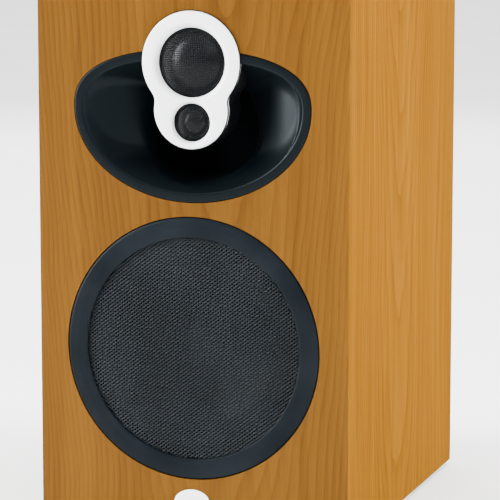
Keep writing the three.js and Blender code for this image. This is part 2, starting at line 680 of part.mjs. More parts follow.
add("crossover_board", crossoverBoard(), CIRCUIT_GREEN);
add("woofer_inductor", inductor(-42, 165, 8, 20, 20), COPPER);
add("midrange_inductor", inductor(5, 160, 6, 14, 14), COPPER);
add("woofer_capacitor", capacitor(-60, -12, 207, 10), CAPACITOR_FILM);
add("tweeter_capacitor", capacitor(5, 37, 208, 7), CAPACITOR_FILM);
const resistorLow = [36, yAt(150), zAt(BOARD_TOP + GAP)];
add("resistor", box(resistorLow, [62, yAt(159), resistorLow[2] + 9]), CERAMIC);

const LEAD_RADIUS = 1.5;
const boardEnd = BOARD_TOP + GAP + LEAD_RADIUS;
const wooferRoute = [[0, 53, 66.4], [0, 60, 55], [-8, 85, 41], [-12, 115, 33], [-14, 142, boardEnd]];
add("woofer_lead", lead(wooferRoute, LEAD_RADIUS, 20), LEAD_SLEEVE);
const podRoute = [
  [0, HOUSING.back + GAP, 296], [3, 44, 296], [25, 75, 282], [46, 105, 245], [50, 128, 200],
  [52, 150, 120], [56, 172, 60], [54, 185, boardEnd + 4], [48, 192, boardEnd],
];
add("pod_lead", lead(podRoute, LEAD_RADIUS, 40), LEAD_SLEEVE);

/** A foam pad on the left wall, over the brace. */
const padLow = [INNER.low[0] + GAP, yAt(90), zAt(220)];
add("damping_pad", box(padLow, [padLow[0] + 15, yAt(235), zAt(335)]), FOAM);

export default speaker;
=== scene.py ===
"""The looks of a bookshelf loudspeaker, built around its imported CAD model. Metres; the front faces -Y."""

import json
import math

import bmesh
import bpy
import numpy as np
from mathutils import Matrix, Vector


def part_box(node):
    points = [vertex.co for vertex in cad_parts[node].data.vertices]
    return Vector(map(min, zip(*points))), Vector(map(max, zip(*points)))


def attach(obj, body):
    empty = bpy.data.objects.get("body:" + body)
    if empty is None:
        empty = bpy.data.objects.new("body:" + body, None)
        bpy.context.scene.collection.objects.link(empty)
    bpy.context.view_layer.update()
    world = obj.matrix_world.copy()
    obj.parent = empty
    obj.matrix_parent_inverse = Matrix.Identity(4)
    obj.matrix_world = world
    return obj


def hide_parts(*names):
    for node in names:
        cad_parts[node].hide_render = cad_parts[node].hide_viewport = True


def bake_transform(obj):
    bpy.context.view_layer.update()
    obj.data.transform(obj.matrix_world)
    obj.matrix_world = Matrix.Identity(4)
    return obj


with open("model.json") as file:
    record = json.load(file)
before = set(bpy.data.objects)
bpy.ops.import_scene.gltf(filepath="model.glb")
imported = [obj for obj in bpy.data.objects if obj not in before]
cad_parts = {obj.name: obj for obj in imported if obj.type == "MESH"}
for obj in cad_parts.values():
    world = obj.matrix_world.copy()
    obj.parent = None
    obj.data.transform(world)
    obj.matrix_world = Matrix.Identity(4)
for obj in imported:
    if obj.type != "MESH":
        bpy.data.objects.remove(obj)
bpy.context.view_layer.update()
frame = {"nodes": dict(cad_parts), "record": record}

MM = 0.001
CUT_PAST = 2 * MM  # how far a cutter reaches beyond the faces that it cuts

# ---------- places that the frame gives ----------


def middle(node):
    """The middle of a CAD node's box."""
    low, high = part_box(node)
    return (low + high) / 2


def half_width(node):
    low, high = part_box(node)
    return (high.x - low.x) / 2


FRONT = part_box("front_baffle")[0].y
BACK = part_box("rear_panel")[1].y
CABINET_LOW = Vector((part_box("left_side_panel")[0].x, FRONT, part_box("bottom_panel")[0].z))
CABINET_HIGH = Vector((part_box("right_side_panel")[1].x, BACK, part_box("top_panel")[1].z))
BAFFLE_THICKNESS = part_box("front_baffle")[1].y - FRONT
PANEL_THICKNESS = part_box("left_side_panel")[1].x - CABINET_LOW.x
WOOFER = middle("grille_trim_ring")
MID = middle("mid_guard")
TWEETER = middle("tweeter_guard")
PORT = middle("port_tube")
CUP = middle("terminal_cup")

# ---------- mesh helpers ----------


def make_object(name, points, faces, sharp_degrees=35):
    """A mesh object from points and faces, smooth apart from edges sharper than sharp_degrees."""
    mesh = bpy.data.meshes.new(name)
    mesh.from_pydata([tuple(p) for p in points], [], [tuple(f) for f in faces])
    work = bmesh.new()
    work.from_mesh(mesh)
    bmesh.ops.remove_doubles(work, verts=work.verts, dist=1e-7)
    bmesh.ops.recalc_face_normals(work, faces=work.faces)
    work.to_mesh(mesh)
    work.free()
    piece = bpy.data.objects.new(name, mesh)
    bpy.context.scene.collection.objects.link(piece)
    smooth(piece, sharp_degrees)
    return piece


def smooth(piece, sharp_degrees=35):
    mesh = piece.data
    mesh.polygons.foreach_set("use_smooth", [True] * len(mesh.polygons))
    mesh.set_sharp_from_angle(angle=math.radians(sharp_degrees))


def rounded(profile, radius, closed=True, steps=4):
    """The profile with each corner replaced by a small curve that starts at most radius before it."""
    longest_share = 0.45  # of an edge, so that the curves at its two ends never meet
    points = [np.array(p, float) for p in profile]
    count = len(points)
    result = []
    for i, corner in enumerate(points):
        if not closed and i in (0, count - 1):
            result.append(corner)
            continue
        before = points[i - 1] - corner
        after = points[(i + 1) % count] - corner
        reach = [min(radius / np.linalg.norm(edge), longest_share) for edge in (before, after)]
        start = corner + before * reach[0]
        end = corner + after * reach[1]
        for step in range(steps + 1):
            t = step / steps
            result.append((1 - t) ** 2 * start + 2 * t * (1 - t) * corner + t ** 2 * end)
    return result


def lathe(name, profile, centre, segments=128, waves=None):
    """A solid turned about the line along Y through centre. The profile is (radius, y) in metres, closed,
    or open with both ends on the axis. waves(angle) may scale the radii."""
    on_axis = 1e-9
    open_ends = profile[0][0] < on_axis and profile[-1][0] < on_axis
    body = profile[1:-1] if open_ends else profile
    angles = [2 * math.pi * i / segments for i in range(segments)]
    points = []
    for angle in angles:
        scale = waves(angle) if waves else 1
        points += [(centre.x + r * scale * math.cos(angle), y, centre.z + r * scale * math.sin(angle))
                   for r, y in body]
    n = len(body)
    faces = []
    for i in range(segments):
        j = (i + 1) % segments
        for k in range(n if not open_ends else n - 1):
            m = (k + 1) % n
            faces.append((i * n + k, i * n + m, j * n + m, j * n + k))
    if open_ends:
        points += [(centre.x, profile[0][1], centre.z), (centre.x, profile[-1][1], centre.z)]
        first, last = segments * n, segments * n + 1
        for i in range(segments):
            j = (i + 1) % segments
            faces.append((first, i * n, j * n))
            faces.append((last, j * n + n - 1, i * n + n - 1))
    return make_object(name, points, faces)


def from_depths(profile, origin=FRONT):
    """A profile in millimetres of radius and depth, as (radius, y) in metres."""
    return [(r * MM, origin + d * MM) for r, d in profile]


def turned(name, profile, centre, radius=0.3, segments=128, origin=FRONT):
    """A lathe piece with softened corners, from (radius, depth) points in millimetres."""
    on_axis = profile[0][0] == 0 and profile[-1][0] == 0
    soft = rounded(profile, radius, closed=not on_axis)
    return lathe(name, from_depths(soft, origin), centre, segments)


def loft(name, rings, sharp_degrees=35, joined=False):
    """A closed solid over rings of equally many points. It has a flat face at each end, or else its last
    ring is joined to its first."""
    n = len(rings[0])
    total = len(rings)
    points = [p for ring in rings for p in ring]
    faces = [] if joined else [tuple(range(n)), tuple(reversed(range((total - 1) * n, total * n)))]
    for k in range(total if joined else total - 1):
        m = (k + 1) % total
        for i in range(n):
            j = (i + 1) % n
            faces.append((k * n + i, k * n + j, m * n + j, m * n + i))
    return make_object(name, points, faces, sharp_degrees)


def prism(name, outline, near, far):
    """An outline of (x, z) points as a solid between two Y values."""
    return loft(name, [[(x, y, z) for x, z in outline] for y in (near, far)])


def subtract(piece, *cutters):
    """Cuts the cutters out of the piece and deletes them."""
    for cutter in cutters:
        modifier = piece.modifiers.new("cut", "BOOLEAN")
        modifier.operation = "DIFFERENCE"
        modifier.solver = "EXACT"
        modifier.object = cutter
    bpy.context.view_layer.update()
    graph = bpy.context.evaluated_depsgraph_get()
    mesh = bpy.data.meshes.new_from_object(piece.evaluated_get(graph))
    piece.modifiers.clear()
    piece.data = mesh
    for cutter in cutters:
        bpy.data.objects.remove(cutter)
    smooth(piece)
    return piece


def tubes(name, wires, radius, flatten=1.0):
    """Thin wires, each a row of points, as one object of four-sided tubes."""
    points = []
    faces = []
    front = np.array((0.0, -1.0, 0.0))
    for wire in wires:
        wire = np.array(wire)
        along = np.gradient(wire, axis=0)
        side = np.cross(along, front)
        side /= np.linalg.norm(side, axis=1)[:, None]
        up = np.cross(side, along)
        up /= np.linalg.norm(up, axis=1)[:, None]
        base = len(points)
        for k in range(len(wire)):
            for a, b in ((1, 0), (0, flatten), (-1, 0), (0, -flatten)):
                points.append(wire[k] + radius * (a * side[k] + b * up[k]))
        for k in range(len(wire) - 1):
            for i in range(4):
                j = (i + 1) % 4
                at = base + 4 * k
                faces.append((at + i, at + j, at + 4 + j, at + 4 + i))
        end = base + 4 * (len(wire) - 1)
        faces += [(base, base + 1, base + 2, base + 3), (end + 3, end + 2, end + 1, end)]
    return make_object(name, points, faces, 80)


def woven(centre, reach, pitch, lean, sway, surface):
    """Two families of wires that weave over and under each other inside a circle of radius reach. lean is
    each family's angle from level, and surface(x, z) gives the Y of the sheet that the wires lie in."""
    wires = []
    crossing = pitch / abs(math.sin(lean[0] - lean[1]))
    count = int(reach / pitch)
    for family, angle in enumerate(lean):
        along = np.array((math.cos(angle), math.sin(angle)))
        across = np.array((-math.sin(angle), math.cos(angle)))
        for row in range(-count, count + 1):
            half = math.sqrt(max(reach ** 2 - (row * pitch) ** 2, 0))
            steps = int(half / crossing)
            if steps < 1:
                continue
            wire = []
            for k in range(-steps, steps + 1):
                x, z = across * row * pitch + along * k * crossing
                over = sway if (row + k + family) % 2 else -sway
                wire.append((centre.x + x, surface(x, z) + over, centre.z + z))
            wires.append(wire)
    return wires


# ---------- node materials ----------


class Look:
    """A node material with a Principled shader. add() makes a node and returns one of its outputs."""

    def __init__(self, name, roughness=0.5, metallic=0.0, **shader):
        self.material = bpy.data.materials.new(name)
        self.material.use_nodes = True
        self.tree = self.material.node_tree
        self.shader = self.tree.nodes["Principled BSDF"]
        self.shader.inputs["Roughness"].default_value = roughness
        self.shader.inputs["Metallic"].default_value = metallic
        for key, value in shader.items():
            self.shader.inputs[key.replace("_", " ")].default_value = value
        self.place = self.add("ShaderNodeTexCoord", out="Object")

    def axes(self):
        """The object's own X, Y and Z, as three outputs."""
        node = self.tree.nodes.new("ShaderNodeSeparateXYZ")
        self.tree.links.new(self.place, node.inputs[0])
        return node.outputs

    def add(self, kind, out=0, settings=None, **inputs):
        node = self.tree.nodes.new(kind)
        for key, value in (settings or {}).items():
            setattr(node, key, value)
        for key, value in inputs.items():
            socket = node.inputs[int(key[1:])] if key[0] == "i" and key[1:].isdigit() else node.inputs[key]
            if isinstance(value, bpy.types.NodeSocket):
                self.tree.links.new(value, socket)
            else:
                socket.default_value = value
        return node.outputs[out]

    def noise(self, scale, detail=3.0, roughness=0.55, place=None, stretch=(1, 1, 1)):
        where = place or self.place
        if stretch != (1, 1, 1):
            where = self.add("ShaderNodeMapping", Vector=where, Scale=stretch)
        return self.add("ShaderNodeTexNoise", Vector=where, Scale=scale, Detail=detail, Roughness=roughness)

    def between(self, value, low, high, new_low, new_high):
        return self.add("ShaderNodeMapRange", **{"Value": value, "From Min": low, "From Max": high,
                                                 "To Min": new_low, "To Max": new_high})

    def mix(self, share, first, second):
        return self.add("ShaderNodeMixRGB", Fac=share, Color1=first, Color2=second)

    def maths(self, operation, first, second=0.0):
        return self.add("ShaderNodeMath", settings={"operation": operation}, i0=first, i1=second)

    def finish(self, colour=None, roughness=None, height=None, depth=0.0001, strength=1.0):
        for socket, value in (("Base Color", colour), ("Roughness", roughness)):
            if value is not None:
                self.tree.links.new(value, self.shader.inputs[socket])
        if height is not None:
            bump = self.add("ShaderNodeBump", Height=height, Distance=depth, Strength=strength)
            self.tree.links.new(bump, self.shader.inputs["Normal"])
        return self.material


def rgb(red, green, blue):
    """A display colour out of 255 as the linear colour that a shader takes."""
    def linear(value):
        share = value / 255
        return share / 12.92 if share <= 0.04045 else ((share + 0.055) / 1.055) ** 2.4
    return (linear(red), linear(green), linear(blue), 1.0)


LIGHT_WOOD = rgb(90, 58, 12)
DARK_WOOD = rgb(60, 34, 4)
PORE_COLOUR = rgb(50, 28, 4)
RINGS_PER_METRE = 17.0
ARCH_BEND = 1500.0  # how sharply the rings bend back on each side of their arch
LATE_WOOD_POWER = 2.2
SWAY_DISTANCE = 0.035
RING_WANDER = 3.5


def cherry(name, across, along, arch_middle, shine=0.05):
    """Satin cherry veneer. across and along are the axes (0, 1, 2) over and along the grain, and
    arch_middle is where along the across axis the grain's arches stand."""
    look = Look(name, roughness=0.45, Specular_IOR_Level=shine)
    xyz = look.axes()
    thick = 3 - across - along
    sway = look.noise(1.0, 2.0, stretch=tuple(9 if axis == across else 3.5 for axis in range(3)))
    drift = look.maths("MULTIPLY", look.maths("SUBTRACT", sway, 0.5), SWAY_DISTANCE)
    over = look.maths("ADD", xyz[across], drift)
    from_middle = look.maths("SUBTRACT", over, arch_middle)
    arch = look.maths("MULTIPLY", look.maths("MULTIPLY", from_middle, from_middle), ARCH_BEND)
    rise = look.maths("MULTIPLY", xyz[along], RINGS_PER_METRE)
    wander = look.maths("MULTIPLY", look.noise(1.0, 3.0, stretch=(14, 14, 5)), RING_WANDER)
    rings = look.maths("ADD", look.maths("SUBTRACT", rise, arch), wander)
    late_wood = look.maths("POWER", look.maths("FRACT", rings), LATE_WOOD_POWER)

    place = look.add("ShaderNodeCombineXYZ", X=over, Y=xyz[along], Z=xyz[thick])
    fibres = look.noise(1.0, 4.0, 0.65, place, stretch=(900, 16, 900))
    streaks = look.noise(1.0, 3.0, 0.6, place, stretch=(150, 3.2, 150))
    broad = look.noise(1.0, 2.0, 0.5, place, stretch=(17, 2.2, 17))
    pores = look.noise(1.0, 2.0, 0.5, place, stretch=(2300, 95, 2300))
    pore_mark = look.between(pores, 0.63, 0.72, 0.0, 1.0)

    tone = look.maths("MULTIPLY", late_wood, 0.34)
    for layer, amount in ((look.between(streaks, 0.3, 0.7, 0, 1), 0.34),
                          (look.between(broad, 0.3, 0.7, 0, 1), 0.3),
                          (look.maths("SUBTRACT", fibres, 0.5), 0.55)):
        tone = look.maths("ADD", tone, look.maths("MULTIPLY", layer, amount))
    colour = look.mix(tone, LIGHT_WOOD, DARK_WOOD)
    colour = look.mix(look.maths("MULTIPLY", pore_mark, 0.35), colour, PORE_COLOUR)
    raised = look.maths("MULTIPLY", fibres, 0.5)
    sunk = look.maths("MULTIPLY", pore_mark, 0.5)
    roughness = look.between(fibres, 0.3, 0.7, 0.34, 0.46)
    return look.finish(colour, roughness, look.maths("SUBTRACT", raised, sunk), depth=0.00006, strength=0.5)


def moulded(name, colour, roughness, grain=900, depth=0.00003, vary=0.15, metallic=0.0, **shader):
    """A moulded, painted or cast surface: slight cloudiness, a fine texture and uneven gloss."""
    look = Look(name, roughness, metallic, **shader)
    cloud = look.noise(22.0, 3.0)
    lighter = tuple(min(1.0, c * (1 + vary) + 0.002) for c in colour[:3]) + (1.0,)
    darker = tuple(c * (1 - vary) for c in colour[:3]) + (1.0,)
    tint = look.mix(look.between(cloud, 0.35, 0.65, 0, 1), darker, lighter)
    fine = look.noise(grain, 3.0, 0.6)
    gloss = look.between(fine, 0.3, 0.7, roughness - 0.04, roughness + 0.05)
    return look.finish(tint, gloss, fine, depth, 0.6)


def cloth(name, colour, pitch):
    """A fine plain weave over the X and Z axes, with pitch in metres. Painted shade darkens the colour in the
    weave's dips, following its bump.
    """
    look = Look(name, roughness=0.16, Specular_IOR_Level=0.2)
    wave = 2 * math.pi / pitch
    x, _, z = look.axes()
    warp = look.maths("SINE", look.maths("MULTIPLY", x, wave))
    weft = look.maths("SINE", look.maths("MULTIPLY", z, wave))
    weave = look.maths("MULTIPLY", warp, weft)
    # painted shade: the colour darkens towards dip_shade_colour where the weave dips
    shade = look.between(weave, -1, 1, 0, 1)
    dip_shade_colour = tuple(c * 0.6 for c in colour[:3]) + (1.0,)
    thread_relief = 0.02  # of the pitch, low enough to keep highlights in one spot
    return look.finish(look.mix(shade, dip_shade_colour, colour), None, weave, pitch * thread_relief, 0.7)


VENEER_FRONT = cherry("cherry_front", 0, 2, 0.02)
VENEER_SIDE = cherry("cherry_side", 1, 2, -0.01, shine=0.0)
VENEER_TOP = cherry("cherry_top", 0, 1, -0.015, shine=0.0)
TRIM = moulded("trim_paint_soft", rgb(9, 14, 18), 0.42, grain=1500, depth=0.00002, Specular_IOR_Level=0.028)
SILVER = moulded("pod_satin_silver", rgb(238, 241, 240), 0.34, grain=2400, depth=0.00001, vary=0.02)
BLACK = moulded("black_moulding", rgb(8, 10, 12), 0.5, Specular_IOR_Level=0.08)
WIRE = moulded("grille_wire", rgb(13, 18, 22), 0.26, grain=3000, vary=0.2, Specular_IOR_Level=0.07)
GUARD_WIRE = moulded("guard_wire", rgb(5, 8, 10), 0.16, grain=3000, vary=0.1, Specular_IOR_Level=0.07)
CAST = moulded("cast_frame", rgb(9, 11, 13), 0.45, grain=500, depth=0.0001, Specular_IOR_Level=0.08)
STEEL = moulded("plated_steel", rgb(84, 87, 90), 0.28, vary=0.06, metallic=1.0)
FERRITE = moulded("ferrite", rgb(24, 24, 26), 0.7, grain=400, depth=0.0001, Specular_IOR_Level=0.2)
CONE = moulded("cone_pulp", rgb(2, 3, 4), 0.36, grain=420, depth=0.00015, Specular_IOR_Level=0.03)
RUBBER = moulded("soft_rubber", rgb(3, 4, 5), 0.6, grain=1200, Specular_IOR_Level=0.03)
SILK = cloth("doped_silk", rgb(3, 5, 7), 0.0006)
SPIDER = cloth("spider_cloth", rgb(112, 84, 32), 0.0012)
FILM = moulded("former_film", rgb(92, 62, 20), 0.4)
COPPER = moulded("copper_wire", rgb(132, 70, 36), 0.3, metallic=1.0)
GOLD = moulded("gold_plate", rgb(172, 130, 46), 0.2, vary=0.05, metallic=1.0)
RED = moulded("red_knob", rgb(100, 8, 6), 0.3, Specular_IOR_Level=0.3)
CIRCUIT = moulded("circuit_board", rgb(12, 52, 26), 0.4, grain=300)
CAPACITOR = moulded("capacitor_wrap", rgb(132, 104, 26), 0.35)
CERAMIC = moulded("white_cement", rgb(150, 147, 138), 0.75, grain=500, depth=0.0001)
FOAM = moulded("open_foam", rgb(34, 36, 38), 0.95, grain=260, depth=0.0012, vary=0.3)
BARE_BOARD = moulded("bare_board", rgb(112, 86, 52), 0.85, grain=600, depth=0.00008)


def bowl_gloss():
    """Semi-gloss black that turns dull down the bowl's throat, with painted shade that darkens its colour
    there.
    """
    throat_start = FRONT + 27 * MM
    throat_shade_and_dull_end = FRONT + 41 * MM
    look = Look("bowl_semi_gloss", 0.3, Specular_IOR_Level=0.06, Specular_Tint=(0.76, 0.92, 1.0, 1.0))
    throat_shade_and_dullness = look.between(look.axes()[1], throat_start, throat_shade_and_dull_end, 0.0, 1.0)
    fine = look.noise(700, 3.0, 0.6)
    tint = look.mix(look.between(look.noise(22.0), 0.35, 0.65, 0, 1), rgb(3, 6, 8), rgb(5, 8, 10))
    # painted shade: the colour darkens towards near-black with depth down the throat
    colour = look.mix(throat_shade_and_dullness, tint, rgb(1, 1, 2))
    gloss = look.between(fine, 0.3, 0.7, 0.32, 0.38)
    roughness = look.maths("ADD", gloss, look.maths("MULTIPLY", throat_shade_and_dullness, 0.6))
    return look.finish(colour, roughness, fine, 0.000012, 0.6)


BOWL = bowl_gloss()

SLOT_LOOKS = {
    "cherry_veneer": VENEER_FRONT, "bare_board": BARE_BOARD, "foot_rubber": RUBBER, "badge_silver": SILVER,
    "trim_paint": TRIM, "grille_wire": WIRE, "cast_frame": CAST, "plain_steel": STEEL, "ferrite": FERRITE,
    "cone_paper": CONE, "surround_rubber": RUBBER, "spider_cloth": SPIDER, "dome_silk": SILK,
    "former_film": FILM, "copper_wire": COPPER, "bowl_gloss": BOWL, "pod_silver": SILVER,
    "black_moulding": BLACK, "black_knob": BLACK, "red_knob": RED, "gold_plate": GOLD,
    "circuit_board": CIRCUIT, "capacitor_film": CAPACITOR, "resistor_ceramic": CERAMIC,
    "lead_sleeve": RUBBER, "damping_foam": FOAM,
}
NODE_SLOTS = {part["node"]: part["material_slot"] for part in frame["record"]["subparts"]}
NODE_BODIES = {node: body for body, nodes in frame["record"]["behaviour"]["bodies"].items() for node in nodes}


def paint(piece, material):
    piece.data.materials.clear()
    piece.data.materials.append(material)


def stand_for(piece, *nodes, material=None):
    """The piece takes the first node's body and slot, and hides the nodes that it stands for."""
    slot = NODE_SLOTS[nodes[0]]
    paint(piece, material or SLOT_LOOKS[slot])
    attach(piece, NODE_BODIES[nodes[0]])
    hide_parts(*nodes)
    return piece


# The CAD's own meshes, for the nodes that no piece here stands for.
for node_name, node_object in frame["nodes"].items():
    paint(node_object, SLOT_LOOKS[NODE_SLOTS[node_name]])

# ---------- outlines ----------

BOWL_MIDDLE = Vector((0, 0, CABINET_LOW.z + 269 * MM))
BOWL_HALF_WIDTH = 77.0
BOWL_ABOVE = 36.0
BOWL_BELOW = 58.1
BOWL_TOP_POWER = 2.4
BOWL_LIP = 5.8
THROAT_DROP = 15.0  # from the bowl's middle down to the throat's
THROAT_HALF = (36.0, 33.0)
THROAT_DEPTH = 50.0


def bowl_edge(angle, inset):
    """A point of the bowl's outline in millimetres from its middle, moved in by inset."""
    power = 2 / BOWL_TOP_POWER if math.sin(angle) >= 0 else 1.0
    reach = (BOWL_ABOVE if math.sin(angle) >= 0 else BOWL_BELOW) - inset
    cos, sin = math.cos(angle), math.sin(angle)
    return (math.copysign(abs(cos) ** power, cos) * (BOWL_HALF_WIDTH - inset),
            math.copysign(abs(sin) ** power, sin) * reach)


def bowl_outline(inset, count=256):
    """The bowl's outline as (x, z) points in metres."""
    turns = [2 * math.pi * (i + 0.5) / count for i in range(count)]
    return [(x * MM, BOWL_MIDDLE.z + z * MM) for x, z in (bowl_edge(angle, inset) for angle in turns)]


POD_UPPER = (CABINET_LOW.z / MM + 297.3, 31.5)  # height and radius of the pod's two circles
POD_LOWER = (CABINET_LOW.z / MM + 267.8, 23.7)
POD_FILLET = 9.0


def pod_outline(inset, steps=40):
    """The pod's outline as (x, z) points in metres: two circles with a fillet in each waist."""
    upper = POD_UPPER[1] - inset
    lower = POD_LOWER[1] - inset
    fillet = POD_FILLET + inset
    apart = POD_UPPER[0] - POD_LOWER[0]
    drop = ((upper + fillet) ** 2 - (lower + fillet) ** 2 + apart ** 2) / (2 * apart)
    side = math.sqrt((upper + fillet) ** 2 - drop ** 2)
    high = math.atan2(-drop, side)
    low = math.atan2(apart - drop, side)
    arcs = [
        (0, POD_UPPER[0], upper, high, math.pi - high),
        (-side, POD_UPPER[0] - drop, fillet, -high, -low),
        (0, POD_LOWER[0], lower, math.pi - low, 2 * math.pi + low),
        (side, POD_UPPER[0] - drop, fillet, math.pi + low, math.pi + high),
    ]
    points = []
    for x, z, radius, start, end in arcs:
        for i in range(steps):
            angle = start + (end - start) * i / steps
            points.append(((x + radius * math.cos(angle)) * MM, (z + radius * math.sin(angle)) * MM))
    return points


def circle(centre, radius, count=192):
    """A circle in X and Z. radius is in metres."""
    turns = [2 * math.pi * i / count for i in range(count)]
    return [(centre.x + radius * math.cos(a), centre.z + radius * math.sin(a)) for a in turns]


def rounded_rectangle(centre, half_x, half_z, corner, steps=8):
    """A rectangle with round corners, as (x, z) points in metres from sizes in millimetres."""
    points = []
    for quarter, (sx, sz) in enumerate(((1, 1), (-1, 1), (-1, -1), (1, -1))):
        for i in range(steps + 1):
            angle = math.pi / 2 * (quarter + i / steps)
            x = sx * (half_x - corner) + corner * math.cos(angle)
            z = sz * (half_z - corner) + corner * math.sin(angle)
            points.append((centre.x + x * MM, centre.z + z * MM))
    return points


# ---------- cabinet ----------

CORNER_ROUND = 0.9 * MM
MITRE_GAP = 0.01 * MM
FLAT_START = 1 * MM  # from the rounded edge in to the rim of the face's one flat polygon
ROUND_STEPS = 5
WOOFER_GAP = 0.5 * MM
REAR_GAP = 0.3


def panel(node, axis, outward, thickness, material, cutters=()):
    """One veneered panel. Its outer edges round over to the mitre, where it meets its neighbours."""
    across, up = [i for i in range(3) if i != axis]
    low, high = CABINET_LOW.copy(), CABINET_HIGH.copy()
    face = high[axis] if outward > 0 else low[axis]

    def ring(inset, depth):
        points = []
        for a, b in ((0, 0), (1, 0), (1, 1), (0, 1)):
            point = [0.0, 0.0, 0.0]
            point[axis] = face - outward * depth
            point[across] = (high[across] - inset) if a else (low[across] + inset)
            point[up] = (high[up] - inset) if b else (low[up] + inset)
            points.append(tuple(point))
        return points

    rings = [ring(CORNER_ROUND + FLAT_START, 0.0)]
    for i in range(ROUND_STEPS + 1):
        angle = math.pi / 4 * i / ROUND_STEPS
        inset = CORNER_ROUND * (1 - math.sin(angle)) + MITRE_GAP
        rings.append(ring(inset, CORNER_ROUND * (1 - math.cos(angle))))
    rings.append(ring(PANEL_THICKNESS, thickness))
    piece = loft("veneered_" + node, rings, 40)
    if cutters:
        subtract(piece, *cutters)
    return stand_for(piece, node, material=material)


def baffle_cutters():
    """The baffle's openings: a round one for the woofer, the bowl's outline and the pod's upper circle."""
    past = FRONT + BAFFLE_THICKNESS + CUT_PAST
    before = FRONT - CUT_PAST
    woofer_radius = half_width("grille_trim_ring") + WOOFER_GAP
    pod_middle = Vector((0, 0, POD_UPPER[0] * MM))
    return (
        prism("cut_woofer", circle(WOOFER, woofer_radius), before, past),
        prism("cut_bowl", bowl_outline(-0.35), before, past),
        prism("cut_pod", circle(pod_middle, (POD_UPPER[1] + 0.4) * MM), before, past),
    )


def rear_cutters():
    """The rear panel's openings, for the port's flange and the terminal cup."""
    past = BACK + CUT_PAST
    before = BACK - PANEL_THICKNESS - CUT_PAST
    cup_low, cup_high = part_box("terminal_cup")
    half_x = (cup_high.x - cup_low.x) / 2 / MM + REAR_GAP
    half_z = (cup_high.z - cup_low.z) / 2 / MM + REAR_GAP
    return (
        prism("cut_port", circle(PORT, half_width("port_tube") + REAR_GAP * MM), before, past),
        prism("cut_cup", rounded_rectangle(CUP, half_x, half_z, 4.3), before, past),
    )


panel("front_baffle", 1, -1, BAFFLE_THICKNESS, VENEER_FRONT, baffle_cutters())
panel("rear_panel", 1, 1, PANEL_THICKNESS, VENEER_FRONT, rear_cutters())
panel("left_side_panel", 0, -1, PANEL_THICKNESS, VENEER_SIDE)
panel("right_side_panel", 0, 1, PANEL_THICKNESS, VENEER_SIDE)
panel("top_panel", 2, 1, PANEL_THICKNESS, VENEER_TOP)
panel("bottom_panel", 2, -1, PANEL_THICKNESS, VENEER_TOP)


def upright(piece, centre):
    """Stands a piece that was turned about Y through the origin on end, with its first end down."""
    for vertex in piece.data.vertices:
        x, y, z = vertex.co
        vertex.co = (centre.x + x, centre.y - z, y)
    return piece


for corner in ("front_left", "front_right", "rear_left", "rear_right"):
    name = "foot_" + corner
    low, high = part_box(name)
    radius = half_width(name) / MM
    height = (high.z - low.z) / MM
    pad = [(0, 0.35), (2.2, 0.35), (2.6, 0), (radius - 1.2, 0), (radius, height), (0, height)]
    piece = turned("rubber_" + name, pad, Vector((0, 0, 0)), 0.35, 64, origin=0)
    stand_for(upright(piece, (low + high) / 2), name)


def badge():
    """The plain oval badge, with a rounded rim and a slightly domed face."""
    low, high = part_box("badge")
    centre = (low + high) / 2
    half = ((high.x - low.x) / 2, (high.z - low.z) / 2)
    rise = high.y - low.y
    count = 96
    turns = [2 * math.pi * i / count for i in range(count)]
    rim = ((1, 0), (1, 0.55), (0.985, 0.72), (0.95, 0.82), (0.88, 0.8))
    dome = ((0.84, 0.84), (0.6, 0.94), (0.3, 0.99), (0.02, 1))
    rings = []
    for share, lift in rim + dome:
        rings.append([(centre.x + half[0] * share * math.cos(a), high.y - rise * lift,
                       centre.z + half[1] * share * math.sin(a)) for a in turns])
    return loft("oval_badge", rings)


stand_for(badge(), "badge")

# ---------- woofer ----------

TRIM_RADIUS = half_width("grille_trim_ring") / MM
TRIM_OPENING = 69.8
MESH_DEPTH = 1.55
MESH_REACH = 70.2 * MM
STRAND_PITCH = 1.86 * MM
STRAND_LEAN = (math.radians(37.2), math.radians(-34.8))
STRAND_SWAY = 0.2 * MM
STRAND_RADIUS = 0.36 * MM
STRAND_FLATTEN = 0.7

trim_profile = [
    (TRIM_OPENING, -0.1), (TRIM_OPENING + 1.4, -0.45), (76, -0.68), (81.2, -0.4), (TRIM_RADIUS, 0.5),
    (TRIM_RADIUS, 4.2), (73.4, 4.2), (73.4, 2.6), (TRIM_OPENING, 2.6),
]
stand_for(turned("trim_ring", trim_profile, WOOFER, 0.5, 192), "grille_trim_ring")
clamp_profile = [(TRIM_OPENING, 2.8), (73, 2.8), (73, 4.2), (TRIM_OPENING, 4.2)]
stand_for(turned("mesh_clamp_ring", clamp_profile, WOOFER, 0.3), "grille_clamp_ring")
strands = woven(WOOFER, MESH_REACH, STRAND_PITCH, STRAND_LEAN, STRAND_SWAY,
                lambda x, z: FRONT + MESH_DEPTH * MM)
stand_for(tubes("woven_grille", strands, STRAND_RADIUS, STRAND_FLATTEN), "grille_mesh")


def basket():
    """The cast frame with six windows between its spokes."""
    profile = [
        (68.6, 5), (82, 5), (82, 8.2), (73.4, 8.2), (72.6, 17), (51, 48), (51, 58.6), (24, 58.6),
        (24, 55), (39.5, 55), (39.5, 46), (47.6, 46), (68.8, 17), (62, 17), (62, 14), (68.6, 14),
    ]
    piece = turned("cast_basket", profile, WOOFER, 0.5)
    windows = 6
    half_window = 20
    near, far = 40, 90
    cutters = []
    for i in range(windows):
        angle = 2 * math.pi * (i + 0.5) / windows
        out = Vector((math.sin(angle), 0, math.cos(angle)))
        side = Vector((out.z, 0, -out.x))
        outline = []
        for s, r in ((-1, near), (1, near), (1, far), (-1, far)):
            corner = WOOFER + side * s * half_window * MM + out * r * MM
            outline.append((corner.x, corner.z))
        cutters.append(prism(f"window_{i}", outline, FRONT + 22 * MM, FRONT + 42.5 * MM))
    return subtract(piece, *cutters)


stand_for(basket(), "woofer_basket")

